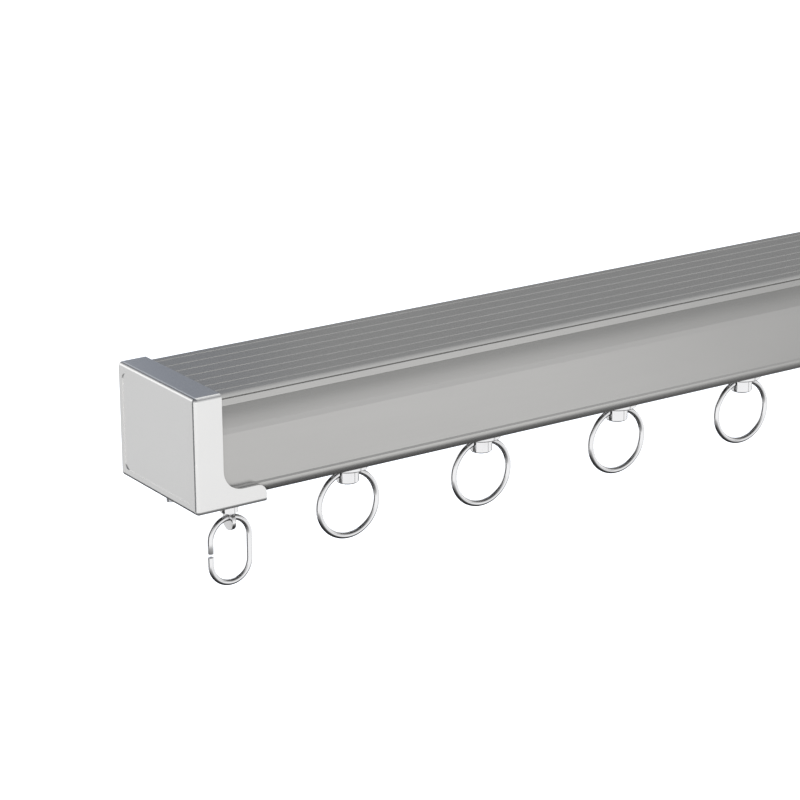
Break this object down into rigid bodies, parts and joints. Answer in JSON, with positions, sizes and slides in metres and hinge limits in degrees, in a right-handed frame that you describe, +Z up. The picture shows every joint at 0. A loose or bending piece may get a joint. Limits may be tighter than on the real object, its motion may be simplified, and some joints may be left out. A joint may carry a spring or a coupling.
{
  "type": "curtain track",
  "caption": "Ceiling curtain track with end caps, wheeled gliders on swivel hangers with rings, and an end stop and link at each end.",
  "frame": {"origin": "middle of the track's top face, half-way along and half-way across", "axes": "+X along the track, towards the right end as seen from the front; -Y out of the front face; +Z up, out of the top face"},
  "size_m": [0.5, 0.0494, 0.0754],
  "materials": {
    "anodised_profile": "satin anodised, warm grey",
    "cap_plastic": "light grey, semi-matt",
    "plated_casting": "bright plated",
    "ring_wire": "bright plated wire",
    "screw_steel": "plain zinc plated",
    "carriage_plastic": "natural white",
    "wheel_plastic": "white",
    "axle_steel": "bright"
  },
  "bodies": {
    "track": {"track": "anodised_profile", "left_end_cap": "cap_plastic", "right_end_cap": "cap_plastic", "left_end_stop": "plated_casting", "right_end_stop": "plated_casting", "cap_screws": "screw_steel", "stop_screws": "screw_steel"},
    "left_end_link": {"left_end_link": "ring_wire"},
    "right_end_link": {"right_end_link": "ring_wire"},
    "glider_1": {"carriage_1": "carriage_plastic", "axles_1": "axle_steel"},
    "left_wheels_1": {"left_wheels_1": "wheel_plastic"},
    "right_wheels_1": {"right_wheels_1": "wheel_plastic"},
    "hanger_1": {"hanger_1": "plated_casting", "clip_1": "axle_steel"},
    "ring_1": {"ring_1": "ring_wire"},
    "glider_2": {"carriage_2": "carriage_plastic", "axles_2": "axle_steel"},
    "left_wheels_2": {"left_wheels_2": "wheel_plastic"},
    "right_wheels_2": {"right_wheels_2": "wheel_plastic"},
    "hanger_2": {"hanger_2": "plated_casting", "clip_2": "axle_steel"},
    "ring_2": {"ring_2": "ring_wire"},
    "glider_3": {"carriage_3": "carriage_plastic", "axles_3": "axle_steel"},
    "left_wheels_3": {"left_wheels_3": "wheel_plastic"},
    "right_wheels_3": {"right_wheels_3": "wheel_plastic"},
    "hanger_3": {"hanger_3": "plated_casting", "clip_3": "axle_steel"},
    "ring_3": {"ring_3": "ring_wire"},
    "glider_4": {"carriage_4": "carriage_plastic", "axles_4": "axle_steel"},
    "left_wheels_4": {"left_wheels_4": "wheel_plastic"},
    "right_wheels_4": {"right_wheels_4": "wheel_plastic"},
    "hanger_4": {"hanger_4": "plated_casting", "clip_4": "axle_steel"},
    "ring_4": {"ring_4": "ring_wire"},
    "glider_5": {"carriage_5": "carriage_plastic", "axles_5": "axle_steel"},
    "left_wheels_5": {"left_wheels_5": "wheel_plastic"},
    "right_wheels_5": {"right_wheels_5": "wheel_plastic"},
    "hanger_5": {"hanger_5": "plated_casting", "clip_5": "axle_steel"},
    "ring_5": {"ring_5": "ring_wire"},
    "glider_6": {"carriage_6": "carriage_plastic", "axles_6": "axle_steel"},
    "left_wheels_6": {"left_wheels_6": "wheel_plastic"},
    "right_wheels_6": {"right_wheels_6": "wheel_plastic"},
    "hanger_6": {"hanger_6": "plated_casting", "clip_6": "axle_steel"},
    "ring_6": {"ring_6": "ring_wire"},
    "glider_7": {"carriage_7": "carriage_plastic", "axles_7": "axle_steel"},
    "left_wheels_7": {"left_wheels_7": "wheel_plastic"},
    "right_wheels_7": {"right_wheels_7": "wheel_plastic"},
    "hanger_7": {"hanger_7": "plated_casting", "clip_7": "axle_steel"},
    "ring_7": {"ring_7": "ring_wire"}
  },
  "joints": [
    {"name": "left_end_link_swing", "type": "hinge", "parent": "track", "child": "left_end_link", "pos_m": [-0.224, 0, -0.0503], "axis": [1, 0, 0], "range_deg": [-90, 90]},
    {"name": "right_end_link_swing", "type": "hinge", "parent": "track", "child": "right_end_link", "pos_m": [0.224, 0, -0.0503], "axis": [1, 0, 0], "range_deg": [-90, 90]},
    {"name": "glider_1_slide", "type": "slide", "parent": "track", "child": "glider_1", "axis": [1, 0, 0], "range_m": [-0.0248, 0.0292]},
    {"name": "left_wheels_1_roll", "type": "hinge", "parent": "glider_1", "child": "left_wheels_1", "pos_m": [-0.1842, 0, -0.0286], "axis": [0, 1, 0], "continuous": true},
    {"name": "right_wheels_1_roll", "type": "hinge", "parent": "glider_1", "child": "right_wheels_1", "pos_m": [-0.1718, 0, -0.0286], "axis": [0, 1, 0], "continuous": true},
    {"name": "hanger_1_swivel", "type": "hinge", "parent": "glider_1", "child": "hanger_1", "pos_m": [-0.178, 0, -0.0407], "axis": [0, 0, 1], "continuous": true},
    {"name": "ring_1_swing", "type": "hinge", "parent": "hanger_1", "child": "ring_1", "pos_m": [-0.178, 0, -0.04397], "axis": [1, 0, 0], "range_deg": [-90, 90]},
    {"name": "glider_2_slide", "type": "slide", "parent": "track", "child": "glider_2", "axis": [1, 0, 0], "range_m": [-0.0292, 0.0336]},
    {"name": "left_wheels_2_roll", "type": "hinge", "parent": "glider_2", "child": "left_wheels_2", "pos_m": [-0.1296, 0, -0.0286], "axis": [0, 1, 0], "continuous": true},
    {"name": "right_wheels_2_roll", "type": "hinge", "parent": "glider_2", "child": "right_wheels_2", "pos_m": [-0.1172, 0, -0.0286], "axis": [0, 1, 0], "continuous": true},
    {"name": "hanger_2_swivel", "type": "hinge", "parent": "glider_2", "child": "hanger_2", "pos_m": [-0.1234, 0, -0.0407], "axis": [0, 0, 1], "continuous": true},
    {"name": "ring_2_swing", "type": "hinge", "parent": "hanger_2", "child": "ring_2", "pos_m": [-0.1234, 0, -0.04397], "axis": [1, 0, 0], "range_deg": [-90, 90]},
    {"name": "glider_3_slide", "type": "slide", "parent": "track", "child": "glider_3", "axis": [1, 0, 0], "range_m": [-0.0336, 0.0321]},
    {"name": "left_wheels_3_roll", "type": "hinge", "parent": "glider_3", "child": "left_wheels_3", "pos_m": [-0.0707, 0, -0.0286], "axis": [0, 1, 0], "continuous": true},
    {"name": "right_wheels_3_roll", "type": "hinge", "parent": "glider_3", "child": "right_wheels_3", "pos_m": [-0.0583, 0, -0.0286], "axis": [0, 1, 0], "continuous": true},
    {"name": "hanger_3_swivel", "type": "hinge", "parent": "glider_3", "child": "hanger_3", "pos_m": [-0.0645, 0, -0.0407], "axis": [0, 0, 1], "continuous": true},
    {"name": "ring_3_swing", "type": "hinge", "parent": "hanger_3", "child": "ring_3", "pos_m": [-0.0645, 0, -0.04397], "axis": [1, 0, 0], "range_deg": [-90, 90]},
    {"name": "glider_4_slide", "type": "slide", "parent": "track", "child": "glider_4", "axis": [1, 0, 0], "range_m": [-0.0321, 0.0316]},
    {"name": "left_wheels_4_roll", "type": "hinge", "parent": "glider_4", "child": "left_wheels_4", "pos_m": [-0.0133, 0, -0.0286], "axis": [0, 1, 0], "continuous": true},
    {"name": "right_wheels_4_roll", "type": "hinge", "parent": "glider_4", "child": "right_wheels_4", "pos_m": [-0.0009, 0, -0.0286], "axis": [0, 1, 0], "continuous": true},
    {"name": "hanger_4_swivel", "type": "hinge", "parent": "glider_4", "child": "hanger_4", "pos_m": [-0.0071, 0, -0.0407], "axis": [0, 0, 1], "continuous": true},
    {"name": "ring_4_swing", "type": "hinge", "parent": "hanger_4", "child": "ring_4", "pos_m": [-0.0071, 0, -0.04397], "axis": [1, 0, 0], "range_deg": [-90, 90]},
    {"name": "glider_5_slide", "type": "slide", "parent": "track", "child": "glider_5", "axis": [1, 0, 0], "range_m": [-0.0316, 0.0317]},
    {"name": "left_wheels_5_roll", "type": "hinge", "parent": "glider_5", "child": "left_wheels_5", "pos_m": [0.0437, 0, -0.0286], "axis": [0, 1, 0], "continuous": true},
    {"name": "right_wheels_5_roll", "type": "hinge", "parent": "glider_5", "child": "right_wheels_5", "pos_m": [0.0561, 0, -0.0286], "axis": [0, 1, 0], "continuous": true},
    {"name": "hanger_5_swivel", "type": "hinge", "parent": "glider_5", "child": "hanger_5", "pos_m": [0.0499, 0, -0.0407], "axis": [0, 0, 1], "continuous": true},
    {"name": "ring_5_swing", "type": "hinge", "parent": "hanger_5", "child": "ring_5", "pos_m": [0.0499, 0, -0.04397], "axis": [1, 0, 0], "range_deg": [-90, 90]},
    {"name": "glider_6_slide", "type": "slide", "parent": "track", "child": "glider_6", "axis": [1, 0, 0], "range_m": [-0.0317, 0.0317]},
    {"name": "left_wheels_6_roll", "type": "hinge", "parent": "glider_6", "child": "left_wheels_6", "pos_m": [0.1007, 0, -0.0286], "axis": [0, 1, 0], "continuous": true},
    {"name": "right_wheels_6_roll", "type": "hinge", "parent": "glider_6", "child": "right_wheels_6", "pos_m": [0.1131, 0, -0.0286], "axis": [0, 1, 0], "continuous": true},
    {"name": "hanger_6_swivel", "type": "hinge", "parent": "glider_6", "child": "hanger_6", "pos_m": [0.1069, 0, -0.0407], "axis": [0, 0, 1], "continuous": true},
    {"name": "ring_6_swing", "type": "hinge", "parent": "hanger_6", "child": "ring_6", "pos_m": [0.1069, 0, -0.04397], "axis": [1, 0, 0], "range_deg": [-90, 90]},
    {"name": "glider_7_slide", "type": "slide", "parent": "track", "child": "glider_7", "axis": [1, 0, 0], "range_m": [-0.0317, 0.0389]},
    {"name": "left_wheels_7_roll", "type": "hinge", "parent": "glider_7", "child": "left_wheels_7", "pos_m": [0.1577, 0, -0.0286], "axis": [0, 1, 0], "continuous": true},
    {"name": "right_wheels_7_roll", "type": "hinge", "parent": "glider_7", "child": "right_wheels_7", "pos_m": [0.1701, 0, -0.0286], "axis": [0, 1, 0], "continuous": true},
    {"name": "hanger_7_swivel", "type": "hinge", "parent": "glider_7", "child": "hanger_7", "pos_m": [0.1639, 0, -0.0407], "axis": [0, 0, 1], "continuous": true},
    {"name": "ring_7_swing", "type": "hinge", "parent": "hanger_7", "child": "ring_7", "pos_m": [0.1639, 0, -0.04397], "axis": [1, 0, 0], "range_deg": [-90, 90]}
  ],
  "couplings": [
    {"joint": "left_wheels_1_roll", "follows": "glider_1_slide", "rad_per_m": 222.22},
    {"joint": "right_wheels_1_roll", "follows": "glider_1_slide", "rad_per_m": 222.22},
    {"joint": "left_wheels_2_roll", "follows": "glider_2_slide", "rad_per_m": 222.22},
    {"joint": "right_wheels_2_roll", "follows": "glider_2_slide", "rad_per_m": 222.22},
    {"joint": "left_wheels_3_roll", "follows": "glider_3_slide", "rad_per_m": 222.22},
    {"joint": "right_wheels_3_roll", "follows": "glider_3_slide", "rad_per_m": 222.22},
    {"joint": "left_wheels_4_roll", "follows": "glider_4_slide", "rad_per_m": 222.22},
    {"joint": "right_wheels_4_roll", "follows": "glider_4_slide", "rad_per_m": 222.22},
    {"joint": "left_wheels_5_roll", "follows": "glider_5_slide", "rad_per_m": 222.22},
    {"joint": "right_wheels_5_roll", "follows": "glider_5_slide", "rad_per_m": 222.22},
    {"joint": "left_wheels_6_roll", "follows": "glider_6_slide", "rad_per_m": 222.22},
    {"joint": "right_wheels_6_roll", "follows": "glider_6_slide", "rad_per_m": 222.22},
    {"joint": "left_wheels_7_roll", "follows": "glider_7_slide", "rad_per_m": 222.22},
    {"joint": "right_wheels_7_roll", "follows": "glider_7_slide", "rad_per_m": 222.22}
  ]
}
